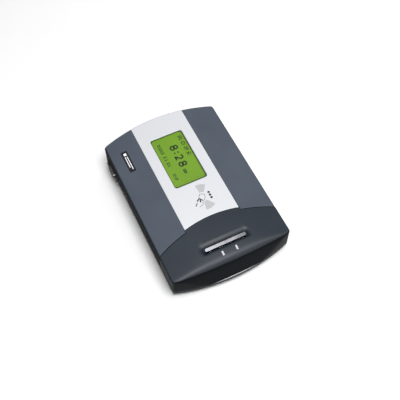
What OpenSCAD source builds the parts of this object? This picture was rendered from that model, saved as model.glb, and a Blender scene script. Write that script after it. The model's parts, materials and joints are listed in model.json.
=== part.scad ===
// Contactless card fare meter: a flat landscape terminal with a graphic display under a
// silver panel, one long bar key and two status lights in the right-hand end cap.
// It lies on its back. +X runs to the right along the face, +Y up the face, +Z out of it.
// The origin is the middle of its bounding box, on the plane its feet stand on.

/* [Casing] */
// Length from the left end to the tip of the right end
body_len = 213; // [209:1:219]
// Width across the face
body_w = 141; // [139:1:147]
// Height of the casing at the middle of its crown, without the feet
body_h = 37; // [36:0.5:40]
// Height of the base tray's side wall
base_h = 8; // [7.5:0.5:8.5]
// How far the left end bows out in plan
far_bow = 11; // [9:0.5:12]
// How far the right end bows out in plan
near_bow = 11.5; // [10:0.5:12.5]
// How much lower the long edges are than the middle
crown_drop = 3.8; // [3:0.1:4.5]
// Radius of the upright corners
corner_r = 3; // [2.5:0.5:5]
// Thickness of the side walls
wall = 2.5; // [2:0.1:2.8]
// Thickness of the top skin
skin = 3.5; // [3.3:0.1:3.8]
// Thickness of the base floor
floor_t = 2.5; // [2:0.1:3]
// Gap at the seams between casing parts
seam = 0.4; // [0.3:0.05:0.5]

/* [Panel and display] */
// Half the width of the silver panel
panel_half = 32.9; // [32:0.1:34]
// Length of the display window
window_l = 72; // [70:0.5:73]
// Height of the display window
window_w = 40; // [38:0.5:41]
// Distance from the casing's middle to the display's middle
display_x = -41.6; // [-42:0.1:-40]
// Length of the display circuit board
lcd_l = 93; // [92:0.5:94]
// Width of the display circuit board
lcd_w = 70; // [69:0.5:70]

/* [Bar key] */
// Length of the bar
bar_l = 48.5; // [44:0.5:50]
// Width of the bar
bar_w = 3.6; // [3.2:0.1:4]
// Distance from the casing's middle to the bar
bar_x = 77.9; // [77:0.1:78.5]
// Radius of the bar's two guide posts
post_r = 1.2; // [1:0.05:1.3]

/* [Connections] */
// How far the serial connector stands out of the casing's side
connector_out = 3; // [2.5:0.5:4]
// Distance from the casing's middle to the serial connector
serial_x = -72; // [-74:0.5:-70]
// Distance from the casing's middle to the power socket
power_x = -36; // [-38:0.5:-34]
// Hole spacing of the mounting pattern along X
mount_dx = 38.1; // [38:0.1:38.2]
// Hole spacing of the mounting pattern along Y
mount_dy = 30.2; // [30:0.1:30.3]

/* [Hidden] */

// Colours
slate = [0.34, 0.37, 0.42];
charcoal = [0.22, 0.24, 0.27];
silver = [0.86, 0.87, 0.89];
board_green = [0.05, 0.32, 0.16];
black = [0.05, 0.05, 0.06];
steel = [0.62, 0.63, 0.65];
brass = [0.78, 0.62, 0.28];

// Radii worked out from the bows and the crown
far_r = (pow(body_w / 2, 2) + pow(far_bow, 2)) / (2 * far_bow);
near_r = (pow(body_w / 2, 2) + pow(near_bow, 2)) / (2 * near_bow);
crown_r = (pow(body_w / 2, 2) + pow(crown_drop, 2)) / (2 * crown_drop);

// Heights above the surface that the feet stand on
feet_h = 2;
z_split = feet_h + base_h;
z_floor = feet_h + floor_t;
z_top = feet_h + body_h;
z_side = z_top - crown_drop;

// Size of the bevel along the long top edges, and of the one along the left end
edge_bevel = 1.6;

// Radius of the end cap's rolled-off top edge in plan, flatter than the bow below it
nose_r = 800;

// Arcs of the end cap's inner edge: across the wings, and across the panel
wing_arc_x = body_len / 2 + 101.7;
wing_arc_r = 162.3;
panel_arc_x = body_len / 2 + 68.4;
panel_arc_r = 133;

// Silver panel
panel_floor = z_top - 1.4;
panel_wrap = 1.2;
panel_wrap_z = z_top - 14;

// Display stack, from the window down to its board
window_t = 0.8;
bezel_top = panel_floor - 0.9;
bezel_t = 0.5;
bezel_l = window_l + 14;
bezel_w = window_w + 16;
glass_t = 1.6;
backlight_t = 2.6;
lcd_board_top = bezel_top - 5.1;
board_t = 1.6;
lcd_hole_dx = lcd_l - 5;
lcd_hole_dy = lcd_w - 5;

// Antenna board, behind the card symbol
antenna_x = 24;
antenna_l = 29;
antenna_w = 56;
antenna_top = z_top - 5.8;
antenna_hole_dx = antenna_l - 5;
antenna_hole_dy = antenna_w - 5;

// Bar key and what is under it
scoop_l = 60;
scoop_w = 13;
scoop_floor = z_top - 2.7;
pad_bottom = z_top - 5.7;
flange_top = pad_bottom - 0.3;
flange_t = 1.5;
bar_proud = 0.3;
bracket_top = z_top - 11;
bracket_t = 2;
key_board_top = bracket_top - 4;
key_bolt_y = 28.5;
bracket_half = key_bolt_y + 3.5;
post_y = 18;
spring_r = 2;
spring_wire = 0.4;
spring_turns = 4;
spring_play = 0.02;
switch_top = key_board_top + 3.6;
plunger_r = 1.8;
running_gap = 0.05;

// Status lights
led_x = body_len / 2 - 18.1;
led_y = 8.2;
led_l = 5;
led_w = 2;

// Main board
main_x0 = -88;
main_x1 = 38;
main_y0 = -62;
main_y1 = 48;
main_bottom = z_floor + 3;
main_top = main_bottom + board_t;

// Screw positions
housing_bosses = [[-95, 40], [-95, -40], [44, 58], [44, -58]];
cap_bosses = [[86, 52], [86, -52]];
case_bosses = concat(housing_bosses, cap_bosses);
boss_split = z_split + 2.7;
board_bosses = [
  [main_x0 + 5, main_y1 - 5], [main_x1 - 5, main_y1 - 5],
  [main_x1 - 5, main_y0 + 5], [main_x0 + 39, main_y0 + 5]
];
foot_spots = [for (sx = [-1, 1], sy = [-1, 1]) [sx * 72, sy * 56]];

// Radii of the bosses, the inserts, the holes for the case screws, and the feet
case_boss_r = 4.5;
top_boss_r = 4;
board_boss_r = 3;
mount_boss_r = 5;
case_insert_r = 2.25;
mount_insert_r = 2.75;
screw_hole_r = 1.7;
screw_head_hole_r = 3.2;
insert_l = 5.7;
foot_r = 5.95;

// Serial connector: its flange is a little inside the wall's face
flange_l = 30.8;
flange_h = 12.5;
serial_z = main_top + 6.3;
serial_face = -body_w / 2 + 0.9;
jack_pitch = 25;

// Power socket
power_z = main_top + 5.5;
power_bore_r = 3.2;
jack_half = 4.5;
jack_top = power_z + 5.5;

// Half the length of the openings in the side wall round the two connectors
serial_open = flange_l / 2 + 0.4;
power_open = jack_half + 0.3;

// ---------------------------------------------------------------- shared shapes

// Moves the casing's middle so that the bounding box, connector included, is centred
module in_place() {
  translate([0, connector_out / 2, 0]) children();
}

// Plan outline of the casing, drawn in by inset
module outline(inset = 0) {
  offset(r = corner_r, $fn = 32)
    offset(delta = -corner_r - inset)
      intersection() {
        square([body_len, body_w], center = true);
        translate([far_r - body_len / 2, 0]) circle(r = far_r, $fn = 240);
        translate([body_len / 2 - near_r, 0]) circle(r = near_r, $fn = 240);
      }
}

// Straight-sided slab of the casing's outline
module slab(z0, z1, inset = 0) {
  translate([0, 0, z0]) linear_extrude(z1 - z0) outline(inset);
}

// Everything below a crowned surface whose middle is at height z
module crown(z) {
  translate([0, 0, z - crown_r])
    rotate([0, 90, 0])
      cylinder(r = crown_r, h = body_len + 20, center = true, $fn = 360);
}

// Rolled-off right end: a wall that leans back, then a shoulder
module nose_form(inset = 0) {
  r = nose_r - inset;
  z = z_top - inset;
  translate([body_len / 2 - nose_r, 0, 0])
    rotate_extrude($fn = 360)
      polygon([
        [0, 0], [r - 0.9, 0], [r - 0.9, z_split - 2], [r - 6, z - 7.5],
        [r - 7.5, z - 3.8], [r - 13, z - 0.9], [r - 26, z + 0.6], [0, z + 0.6]
      ]);
}

// Bevelled left end, turned about the middle of its bow
module far_form() {
  translate([far_r - body_len / 2, 0, 0])
    rotate_extrude($fn = 240)
      polygon([
        [0, 0], [far_r + 1, 0], [far_r + 1, z_top - edge_bevel - 1],
        [far_r - edge_bevel - 1, z_top + 1], [0, z_top + 1]
      ]);
}

// Bevels along the two long edges
module side_form() {
  half = body_w / 2;
  z = z_side - edge_bevel;
  rotate([90, 0, 90])
    linear_extrude(body_len + 20, center = true)
      polygon([
        [-half - 1, 0], [half + 1, 0], [half + 1, z - 1], [half - 6, z + 6],
        [half - 6, z_top + 1], [-half + 6, z_top + 1], [-half + 6, z + 6],
        [-half - 1, z - 1]
      ]);
}

// The whole casing above the seam, solid
module upper_form() {
  intersection() {
    slab(z_split + seam, z_top + 1);
    crown(z_top);
    side_form();
    nose_form();
    far_form();
  }
}

// Plan of the end cap's inner edge, with its tongue over the panel's width
module cap_plan(grow = 0) {
  translate([wing_arc_x, 0]) circle(r = wing_arc_r + grow, $fn = 240);
  intersection() {
    translate([panel_arc_x, 0]) circle(r = panel_arc_r + grow, $fn = 240);
    translate([0, -panel_half - seam - grow])
      square([body_len, 2 * (panel_half + seam + grow)]);
  }
}

// Flat box centred on x, y with rounded upright corners
module round_box(l, w, r, z0, z1) {
  translate([-l / 2, -w / 2 + r, z0]) cube([l, w - 2 * r, z1 - z0]);
  translate([-l / 2 + r, -w / 2, z0]) cube([l - 2 * r, w, z1 - z0]);
  for (sx = [-1, 1], sy = [-1, 1])
    translate([sx * (l / 2 - r), sy * (w / 2 - r), z0])
      cylinder(r = r, h = z1 - z0, $fn = 32);
}

// Pill along Y with half-round ends
module pill(l, w, z0, z1) {
  translate([-w / 2, -(l - w) / 2, z0]) cube([w, l - w, z1 - z0]);
  for (s = [-1, 1])
    translate([0, s * (l - w) / 2, z0]) cylinder(r = w / 2, h = z1 - z0, $fn = 48);
}

// Upright cylinder between two heights
module post(r, z0, z1) {
  translate([0, 0, z0]) cylinder(r = r, h = z1 - z0, $fn = 32);
}

// Box between two corners
module span(a, b) {
  translate(a) cube(b - a);
}

module at_points(points) {
  for (p = points) translate([p[0], p[1], 0]) children();
}

// Four points of a rectangle
function corners(dx, dy) = [for (sx = [-1, 1], sy = [-1, 1]) [sx * dx / 2, sy * dy / 2]];

// Screw that points up: head below z0, thread up to z1
module screw(r, head_r, head_h, z0, z1) {
  post(r, z0, z1);
  difference() {
    post(head_r, z0 - head_h, z0);
    translate([0, 0, z0 - head_h - 0.1]) cylinder(r = head_r * 0.5, h = head_h * 0.5, $fn = 6);
  }
}

// ---------------------------------------------------------------- casing

// Inside of the top parts' walls between two heights, drawn in by gap
module lip_form(z0, z1, gap) {
  intersection() {
    slab(z0, z1, wall + gap);
    nose_form(skin - 0.5 + gap);
  }
}

// Cutter for an opening in the lower side wall
module side_opening(x, half, z0, z1) {
  span([x - half, -body_w, z0], [x + half, -body_w / 2 + 8, z1]);
}

// Hole for an insert, and the screw's way on past it
module insert_hole() {
  post(case_insert_r + running_gap, boss_split, boss_split + insert_l + 0.6);
  post(1.6, boss_split, boss_split + 12);
}

module base_housing() {
  color(charcoal) in_place() difference() {
    union() {
      difference() {
        hull() {
          slab(feet_h, feet_h + 0.1, 3);
          slab(feet_h + 4, z_split - 0.6);
          slab(z_split - 0.1, z_split, 0.5);
        }
        slab(z_floor, z_split + 1, wall);
      }
      // Locating lip inside the top parts' walls
      difference() {
        lip_form(z_floor - 0.5, z_split + 2.5, 0.2);
        lip_form(z_floor - 1, z_split + 3, 1.4);
      }
      at_points(case_bosses) post(case_boss_r, z_floor - 0.5, boss_split);
      at_points(board_bosses) post(board_boss_r, z_floor - 0.5, main_bottom);
      at_points(corners(mount_dx, mount_dy))
        post(mount_boss_r, z_floor - 0.5, main_bottom - 0.5);
    }
    at_points(case_bosses) {
      post(screw_hole_r, 0, boss_split + 1);
      post(screw_head_hole_r, 0, z_floor + 0.5);
    }
    at_points(board_bosses) post(1.3, z_floor + 0.2, main_bottom + 1);
    at_points(corners(mount_dx, mount_dy))
      post(mount_insert_r + running_gap, 0, main_bottom - 1.3);
    at_points(foot_spots) post(foot_r + running_gap, 0, feet_h + 1);
    // Ways out for the two connectors
    side_opening(serial_x, serial_open, main_top - 0.2, z_split + 4);
    side_opening(power_x, power_open, main_top - 0.2, z_split + 4);
  }
}

module top_housing() {
  color(slate) in_place() difference() {
    union() {
      difference() {
        upper_form();
        translate([0, 0, z_split]) linear_extrude(body_h) cap_plan(seam);
        intersection() {
          slab(z_split - 1, z_top, wall);
          crown(z_top - skin);
        }
      }
      // Skirt under the seam, on which the end cap's edge rests
      intersection() {
        translate([0, 0, z_top - 12]) linear_extrude(12) difference() {
          cap_plan(seam + 1.2);
          cap_plan(-2);
        }
        slab(z_split, z_top, wall + 0.3);
        crown(z_top - skin + 0.2);
      }
      at_points(housing_bosses) post(top_boss_r, boss_split + 0.3, z_side - 2);
      translate([display_x, 0])
        at_points(corners(lcd_hole_dx, lcd_hole_dy)) post(3, lcd_board_top, z_side);
      translate([antenna_x, 0])
        at_points(corners(antenna_hole_dx, antenna_hole_dy)) post(2.4, antenna_top, z_side);
    }
    // Channel for the silver panel, and the panel's turned-down end
    span([-body_len, -panel_half - 0.1, panel_floor], [body_len, panel_half + 0.1, z_top + 5]);
    intersection() {
      difference() {
        slab(panel_wrap_z - 0.2, z_top, -1);
        slab(panel_wrap_z - 1, z_top + 1, panel_wrap + 0.2);
      }
      span([-body_len, -panel_half - 0.1, 0], [-body_len / 2 + 12, panel_half + 0.1, z_top]);
    }
    // Opening over the display
    translate([display_x, 0]) round_box(bezel_l + 1, bezel_w + 1, 1.5, z_side - 4, z_top + 1);
    badge_seat(0.4);
    at_points(housing_bosses) insert_hole();
    translate([display_x, 0])
      at_points(corners(lcd_hole_dx, lcd_hole_dy)) post(1.1, lcd_board_top - 1, lcd_board_top + 4);
    translate([antenna_x, 0])
      at_points(corners(antenna_hole_dx, antenna_hole_dy)) post(1.1, antenna_top - 1, antenna_top + 2);
    // Windows for the two connectors, open at the seam
    side_opening(serial_x, serial_open, z_split - 1, serial_z + flange_h / 2 + 0.4);
    side_opening(power_x, power_open, z_split - 1, jack_top + 0.3);
  }
}

module end_cap() {
  color(charcoal) in_place() difference() {
    union() {
      difference() {
        intersection() {
          upper_form();
          translate([0, 0, z_split]) linear_extrude(body_h) cap_plan(0);
        }
        intersection() {
          slab(z_split - 1, z_top, wall);
          crown(z_top - skin + 0.5);
          nose_form(skin - 0.5);
        }
      }
      // Pad under the finger scoop
      translate([bar_x, 0]) span([-8.5, -32, pad_bottom], [8.5, 32, z_top - 2.8]);
      at_points(cap_bosses) post(top_boss_r, boss_split + 0.3, z_side - 1.5);
      translate([bar_x, 0]) at_points([[0, -key_bolt_y], [0, key_bolt_y]])
        post(3, bracket_top, pad_bottom + 1);
    }
    translate([bar_x - 0.5, 0]) pill(scoop_l, scoop_w, scoop_floor, z_top + 1);
    translate([bar_x, 0]) pill(bar_l + 1.2, bar_w + 1.2, pad_bottom - 1, z_top);
    for (s = [-1, 1])
      translate([led_x, s * led_y])
        span([-led_l / 2 - 0.1, -led_w / 2 - 0.1, z_top - 12],
             [led_l / 2 + 0.1, led_w / 2 + 0.1, z_top + 1]);
    at_points(cap_bosses) insert_hole();
    translate([bar_x, 0]) at_points([[0, -key_bolt_y], [0, key_bolt_y]])
      post(1.3, bracket_top - 1, bracket_top + 4);
  }
}

module fascia_panel() {
  color(silver) in_place() difference() {
    intersection() {
      union() {
        span([-body_len, -panel_half, panel_floor], [body_len, panel_half, z_top + 5]);
        difference() {
          span([-body_len, -panel_half, panel_wrap_z], [-body_len / 2 + 10, panel_half, z_top]);
          slab(0, z_top + 1, panel_wrap);
        }
      }
      slab(z_split, z_top + 1);
      crown(z_top - 0.1);
      far_form();
    }
    translate([0, 0, z_split]) linear_extrude(body_h) cap_plan(seam);
    translate([display_x, 0]) round_box(window_l, window_w, 3, z_split, z_top + 1);
  }
}

// The badge's place on the lower wing, tilted to lie on the crown
module badge_seat(grow) {
  y = -53;
  translate([display_x - 21.7, y, z_top - y * y / (2 * crown_r)])
    rotate([-asin(y / crown_r), 0, 0])
      translate([0, 0, -0.4])
        round_box(29.4 + grow, 7.4 + grow, 1, 0, 0.8 + grow * 2);
}

module badge_plate() {
  color(black) in_place() badge_seat(0);
}

// ---------------------------------------------------------------- display

module display_window() {
  color([0.8, 0.9, 0.8, 0.3]) in_place() translate([display_x, 0])
    round_box(window_l + 3.4, window_w + 3.4, 2.5, panel_floor - window_t, panel_floor);
}

module window_gasket() {
  color(black) in_place() translate([display_x, 0]) difference() {
    round_box(window_l + 12, window_w + 14, 3, bezel_top, panel_floor);
    round_box(window_l + 4.4, window_w + 4.4, 3, bezel_top - 1, panel_floor + 1);
  }
}

module lcd_bezel() {
  color(steel) in_place() translate([display_x, 0]) difference() {
    round_box(bezel_l, bezel_w, 1, lcd_board_top, bezel_top);
    round_box(bezel_l - 1.2, bezel_w - 1.2, 0.6, lcd_board_top - 1, bezel_top - bezel_t);
    round_box(window_l + 0.5, window_w + 0.5, 1, lcd_board_top - 1, bezel_top + 1);
  }
}

module lcd_glass() {
  color([0.49, 0.67, 0.2]) in_place() translate([display_x, 0])
    span([-window_l / 2 - 4, -window_w / 2 - 5, bezel_top - bezel_t - glass_t - 0.1],
         [window_l / 2 + 4, window_w / 2 + 5, bezel_top - bezel_t - 0.1]);
}

module lcd_backlight() {
  color([0.92, 0.93, 0.9]) in_place() translate([display_x, 0])
    span([-window_l / 2 - 5, -window_w / 2 - 6, lcd_board_top + 0.1],
         [window_l / 2 + 5, window_w / 2 + 6, lcd_board_top + 0.1 + backlight_t]);
}

module lcd_board() {
  color(board_green) in_place() translate([display_x, 0]) difference() {
    span([-lcd_l / 2, -lcd_w / 2, lcd_board_top - board_t], [lcd_l / 2, lcd_w / 2, lcd_board_top]);
    at_points(corners(lcd_hole_dx, lcd_hole_dy)) post(1.4, lcd_board_top - 5, lcd_board_top + 1);
  }
}

// Screws that hold the display board and the antenna board to the top housing
module module_screws() {
  color(steel) in_place() {
    translate([display_x, 0]) at_points(corners(lcd_hole_dx, lcd_hole_dy))
      screw(1, 2.2, 1.4, lcd_board_top - board_t, lcd_board_top + 3.4);
    translate([antenna_x, 0]) at_points(corners(antenna_hole_dx, antenna_hole_dy))
      screw(1, 2.2, 1.4, antenna_top - 1.2, antenna_top + 1.6);
  }
}

module antenna_board() {
  color(board_green) in_place() translate([antenna_x, 0]) difference() {
    span([-antenna_l / 2, -antenna_w / 2, antenna_top - 1.2],
         [antenna_l / 2, antenna_w / 2, antenna_top]);
    at_points(corners(antenna_hole_dx, antenna_hole_dy)) post(1.3, antenna_top - 3, antenna_top + 1);
  }
}

// Rectangular turns of copper on the antenna board's face
module antenna_coil() {
  color(brass) in_place() translate([antenna_x, 0]) for (i = [0 : 3]) {
    l = antenna_l - 11 - 3 * i;
    w = antenna_w - 11 - 3 * i;
    difference() {
      span([-l / 2, -w / 2, antenna_top], [l / 2, w / 2, antenna_top + 0.2]);
      span([-l / 2 + 0.8, -w / 2 + 0.8, antenna_top - 1], [l / 2 - 0.8, w / 2 - 0.8, antenna_top + 1]);
    }
  }
}

// ---------------------------------------------------------------- bar key

module bar_key() {
  color(silver) in_place() translate([bar_x, 0]) {
    pill(bar_l, bar_w, flange_top - 0.5, z_top + bar_proud);
    pill(bar_l - 4, bar_w + 5, flange_top - flange_t, flange_top);
    at_points([[0, -post_y], [0, post_y]]) post(post_r, bracket_top - bracket_t - 0.6, flange_top - 1);
    post(2.4, switch_top + 2.6, flange_top - 1);
  }
}

// One ring of the spring's wire, at a point of its helix
function wire_ring(turn, z, sides) = [
  for (k = [0 : sides - 1])
    let (a = 360 * k / sides, r = spring_r + spring_wire / 2 * cos(a))
      [r * cos(360 * turn), r * sin(360 * turn), z + spring_wire / 2 * sin(a)]
];

module spring(z0, z1) {
  sides = 6;
  steps = 12 * spring_turns;
  rise = z1 - z0 - spring_wire;
  rings = [for (i = [0 : steps])
    wire_ring(i / 12, z0 + spring_wire / 2 + rise * i / steps, sides)];
  points = [for (ring = rings, p = ring) p];
  walls = [for (i = [0 : steps - 1], k = [0 : sides - 1])
    let (a = i * sides + k, b = i * sides + (k + 1) % sides)
      [a, b, b + sides, a + sides]];
  ends = [[for (k = [0 : sides - 1]) sides - 1 - k],
          [for (k = [0 : sides - 1]) steps * sides + k]];
  polyhedron(points = points, faces = concat(walls, ends), convexity = 6);
}

module key_springs() {
  color(steel) in_place() translate([bar_x, 0])
    at_points([[0, -post_y], [0, post_y]])
      spring(bracket_top, flange_top - flange_t - spring_play);
}

module key_bracket() {
  color(black) in_place() translate([bar_x, 0]) difference() {
    union() {
      span([-6, -bracket_half, bracket_top - bracket_t], [6, bracket_half, bracket_top]);
      at_points([[0, -key_bolt_y], [0, key_bolt_y]]) post(3, key_board_top, bracket_top - 1);
    }
    span([-4.2, -4.2, bracket_top - 5], [4.2, 4.2, bracket_top + 1]);
    at_points([[0, -post_y], [0, post_y]])
      post(post_r + running_gap, bracket_top - 5, bracket_top + 1);
    at_points([[0, -key_bolt_y], [0, key_bolt_y]]) post(1.4, key_board_top - 1, bracket_top + 1);
  }
}

module key_board() {
  color(board_green) in_place() translate([bar_x, 0]) difference() {
    span([-6, -bracket_half, key_board_top - board_t],
         [led_x - bar_x + 4, bracket_half, key_board_top]);
    at_points([[0, -key_bolt_y], [0, key_bolt_y]]) post(1.4, key_board_top - 5, key_board_top + 1);
  }
}

module key_screws() {
  color(steel) in_place() translate([bar_x, 0]) at_points([[0, -key_bolt_y], [0, key_bolt_y]])
    screw(1.2, 2.4, 1.6, key_board_top - board_t, bracket_top + 3.6);
}

module key_switch() {
  color(black) in_place() translate([bar_x, 0]) difference() {
    span([-3, -3, key_board_top], [3, 3, switch_top]);
    post(plunger_r + running_gap, switch_top - 2.4, switch_top + 1);
  }
}

module switch_plunger() {
  color([0.7, 0.2, 0.15]) in_place() translate([bar_x, 0])
    post(plunger_r, switch_top - 0.8, switch_top + 2.6);
}

// Clear light guides that end flush with the cap
module led_windows() {
  color([0.95, 0.96, 0.97]) in_place() for (s = [-1, 1]) translate([led_x, s * led_y]) {
    intersection() {
      span([-led_l / 2, -led_w / 2, key_board_top + 1.6], [led_l / 2, led_w / 2, z_top + 1]);
      translate([-led_x, 0, 0.2]) nose_form();
    }
  }
}

module leds() {
  color([0.9, 0.95, 0.8]) in_place() for (s = [-1, 1])
    translate([led_x, s * led_y])
      span([-1.8, -1.4, key_board_top], [1.8, 1.4, key_board_top + 1.4]);
}

// ---------------------------------------------------------------- main board

module main_board() {
  color(board_green) in_place() difference() {
    span([main_x0, main_y0, main_bottom], [main_x1, main_y1, main_top]);
    at_points(board_bosses) post(1.5, main_bottom - 1, main_top + 1);
  }
}

module board_screws() {
  color(steel) in_place() at_points(board_bosses)
    translate([0, 0, main_top]) mirror([0, 0, 1]) screw(1.2, 2.4, 1.6, 0, 4.2);
}

// Flat chip with two rows of legs along Y
module chip(l, w, h, legs) {
  span([-l / 2, -w / 2, main_top + 0.2], [l / 2, w / 2, main_top + 0.2 + h]);
  for (s = [-1, 1], i = [0 : legs - 1])
    translate([s * (l / 2 + 0.6), (i - (legs - 1) / 2) * 1.27, 0])
      span([-0.7, -0.25, main_top], [0.7, 0.25, main_top + 0.6]);
}

module processor() {
  color(black) in_place() translate([-20, 5]) chip(14, 14, 1.4, 9);
}

module memory_chips() {
  color(black) in_place() for (p = [[-46, 8], [8, 8]])
    translate([p[0], p[1]]) chip(8, 12, 1.6, 8);
}

module crystal() {
  color(steel) in_place() translate([-20, -12]) pill(11, 4.6, main_top, main_top + 3.5);
}

module capacitors() {
  color([0.15, 0.2, 0.35]) in_place() for (x = [-30, -20, -10])
    translate([x, -40]) post(4, main_top, main_top + 10);
}

module regulator() {
  color(black) in_place() translate([-12, -52]) {
    span([-5, -4.5, main_top], [5, 4.5, main_top + 4.4]);
    span([-5, -8, main_top], [5, -4.4, main_top + 1.2]);
  }
}

module coin_cell_holder() {
  color(black) in_place() translate([14, 30]) difference() {
    post(12, main_top, main_top + 4);
    post(10.1, main_top + 1, main_top + 5);
    span([-3, -13, main_top + 1], [3, -8, main_top + 5]);
  }
}

module coin_cell() {
  color(steel) in_place() translate([14, 30]) post(10, main_top + 1, main_top + 4.2);
}

module buzzer() {
  color(black) in_place() translate([20, -34]) difference() {
    post(6, main_top, main_top + 8.5);
    post(1, main_top + 6.5, main_top + 9);
  }
}

module sam_socket() {
  color(black) in_place() translate([-44, 32]) difference() {
    span([-15, -9.5, main_top], [15, 9.5, main_top + 2.6]);
    span([-16, -7.6, main_top + 1], [12.6, 7.6, main_top + 1.9]);
  }
}

module sam_card() {
  color([0.85, 0.85, 0.82]) in_place() translate([-44, 32])
    span([-12.5, -7.5, main_top + 1.05], [12.5, 7.5, main_top + 1.85]);
}

// Upright strip of flat cable that bows out by bow between two heights
module flat_cable(w, z0, z1, lean, bow, t) {
  steps = 12;
  line = [for (i = [0 : steps])
    let (u = i / steps) [lean * u + bow * sin(360 * u), z0 + (z1 - z0) * u]];
  back = [for (i = [steps : -1 : 0]) line[i] + [t, 0]];
  rotate([90, 0, 0]) linear_extrude(w, center = true) polygon(concat(line, back));
}

module ribbon_headers() {
  color(black) in_place() translate([-70, 0]) {
    span([-2.5, -14, main_top], [2.5, 14, main_top + 5]);
    span([-2.5, -14, lcd_board_top - board_t - 5], [2.5, 14, lcd_board_top - board_t]);
  }
}

module ribbon_cable() {
  color([0.7, 0.71, 0.73]) in_place() translate([-70.4, 0])
    flat_cable(25, main_top + 5, lcd_board_top - board_t - 5, 0, 3, 0.8);
}

module key_cable() {
  color([0.7, 0.71, 0.73]) in_place() translate([34, 0])
    flat_cable(9, main_top, key_board_top - board_t, bar_x - 39, 2, 1.4);
}

// ---------------------------------------------------------------- connectors

// D-shaped outline of the serial connector, wider at the top
module d_shape(grow = 0) {
  offset(r = 2 + grow, $fn = 24) polygon([[-6.5, 2.2], [6.5, 2.2], [5.6, -2.2], [-5.6, -2.2]]);
}

// Turns a shape drawn in X-Y so that it stands in the side wall and grows outward along -Y
module in_side_wall(x, y, z) {
  translate([x, y, z]) rotate([90, 0, 0]) children();
}

module serial_shell() {
  color(steel) in_place() difference() {
    union() {
      in_side_wall(serial_x, serial_face + 0.8, serial_z)
        linear_extrude(0.8) square([flange_l, flange_h], center = true);
      in_side_wall(serial_x, serial_face + 0.4, serial_z)
        linear_extrude(connector_out + 1.3) d_shape(0.2);
    }
    in_side_wall(serial_x, serial_face + 2, serial_z) linear_extrude(connector_out + 5) d_shape(-0.3);
    for (s = [-1, 1])
      in_side_wall(serial_x + s * jack_pitch / 2, serial_face + 2, serial_z)
        cylinder(r = 1.6, h = 4, $fn = 32);
  }
}

module serial_insulator() {
  pin_pitch = 2.77;
  row_gap = 1.42;
  color(black) in_place() difference() {
    union() {
      in_side_wall(serial_x, serial_face + 1.2, serial_z)
        linear_extrude(connector_out + 1.5) d_shape(-0.35);
      span([serial_x - flange_l / 2 + 0.4, serial_face + 0.8, main_top],
           [serial_x + flange_l / 2 - 0.4, serial_face + 10, serial_z + flange_h / 2 - 0.4]);
    }
    for (s = [-1, 1])
      in_side_wall(serial_x + s * jack_pitch / 2, serial_face + 8, serial_z)
        cylinder(r = 1.6, h = 8, $fn = 32);
    for (i = [-2 : 2])
      in_side_wall(serial_x + i * pin_pitch, serial_face - 1.5, serial_z + row_gap)
        cylinder(r = 0.55, h = connector_out + 2, $fn = 24);
    for (i = [-1.5 : 1.5])
      in_side_wall(serial_x + i * pin_pitch, serial_face - 1.5, serial_z - row_gap)
        cylinder(r = 0.55, h = connector_out + 2, $fn = 24);
  }
}

module jack_screws() {
  color(steel) in_place() for (s = [-1, 1]) difference() {
    union() {
      in_side_wall(serial_x + s * jack_pitch / 2, serial_face, serial_z)
        cylinder(r = 2.74, h = connector_out + 0.3, $fn = 6);
      in_side_wall(serial_x + s * jack_pitch / 2, serial_face + 6, serial_z)
        cylinder(r = 1.4, h = 6.2, $fn = 32);
    }
    in_side_wall(serial_x + s * jack_pitch / 2, serial_face - 0.5, serial_z)
      cylinder(r = 1.25, h = connector_out + 2, $fn = 32);
  }
}

module power_jack() {
  color(black) in_place() difference() {
    span([power_x - jack_half, -body_w / 2 + 0.4, main_top],
         [power_x + jack_half, -body_w / 2 + 14.5, jack_top]);
    in_side_wall(power_x, -body_w / 2 + 10, power_z) cylinder(r = power_bore_r, h = 20, $fn = 48);
  }
}

module power_pin() {
  color(steel) in_place() in_side_wall(power_x, -body_w / 2 + 10, power_z)
    cylinder(r = 1, h = 8.6, $fn = 32);
}

// ---------------------------------------------------------------- fasteners and feet

module case_screws() {
  color(steel) in_place() at_points(case_bosses)
    screw(1.5, 2.9, 2.2, z_floor + 0.5, boss_split + 6);
}

// Threaded sleeve between two heights
module sleeve(r, bore, z0, z1) {
  difference() {
    post(r, z0, z1);
    post(bore, z0 - 1, z1 + 1);
  }
}

module case_inserts() {
  color(brass) in_place() at_points(case_bosses)
    sleeve(case_insert_r, 1.55, boss_split + 0.5, boss_split + 0.5 + insert_l);
}

module mount_inserts() {
  color(brass) in_place() at_points(corners(mount_dx, mount_dy))
    sleeve(mount_insert_r, 1.65, feet_h, main_bottom - 1.5);
}

module rubber_feet() {
  color(black) in_place() at_points(foot_spots) post(foot_r, 0, feet_h + 1);
}

base_housing();
top_housing();
end_cap();
fascia_panel();
badge_plate();
display_window();
window_gasket();
lcd_bezel();
lcd_glass();
lcd_backlight();
lcd_board();
module_screws();
antenna_board();
antenna_coil();
bar_key();
key_springs();
key_bracket();
key_board();
key_screws();
key_switch();
switch_plunger();
led_windows();
leds();
main_board();
board_screws();
processor();
memory_chips();
crystal();
capacitors();
regulator();
coin_cell_holder();
coin_cell();
buzzer();
sam_socket();
sam_card();
ribbon_headers();
ribbon_cable();
key_cable();
serial_shell();
serial_insulator();
jack_screws();
power_jack();
power_pin();
case_screws();
case_inserts();
mount_inserts();
rubber_feet();
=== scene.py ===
import json
import math

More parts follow.
